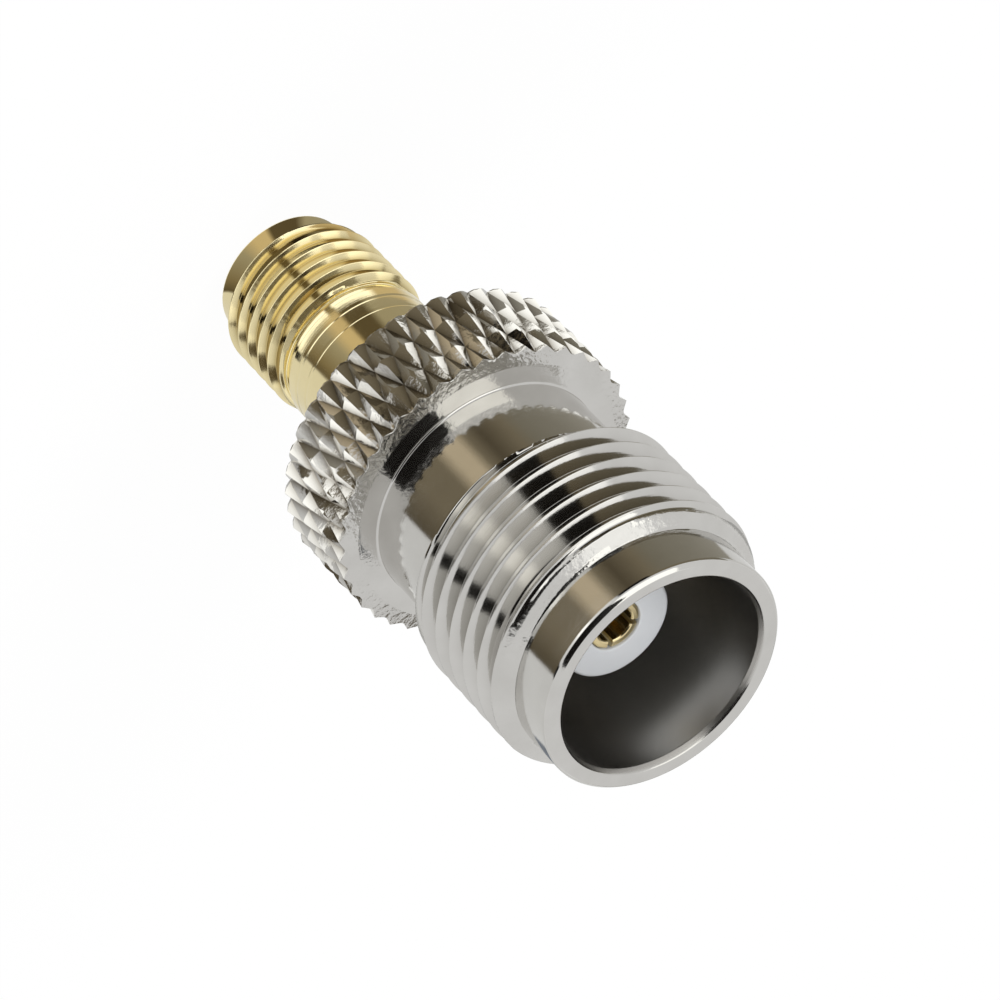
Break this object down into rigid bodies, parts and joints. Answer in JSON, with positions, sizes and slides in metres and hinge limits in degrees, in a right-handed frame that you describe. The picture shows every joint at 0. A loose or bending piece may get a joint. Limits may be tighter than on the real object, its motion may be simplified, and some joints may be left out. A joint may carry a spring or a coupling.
{
  "type": "coaxial adapter",
  "caption": "Straight coaxial adapter: a knurled collar joins a large threaded jack to a small threaded jack, with a centre contact held in white insulators.",
  "frame": {"origin": "centre of the open end of the small jack, on the axis", "axes": "+Z along the axis, from the small jack to the mouth of the large jack; the part stands on the small jack's end"},
  "size_m": [0.0122, 0.0122, 0.0257],
  "materials": {
    "nickel_plate": "bright nickel plate over turned brass",
    "gold_plate": "bright pale gold plate over turned brass",
    "insulator": "white fluoropolymer, waxy",
    "contact": "gold plate over turned bronze"
  },
  "bodies": {
    "root": {"large_jack_body": "nickel_plate", "small_jack_barrel": "gold_plate", "large_insulator": "insulator", "small_insulator": "insulator", "centre_contact": "contact"}
  },
  "joints": []
}
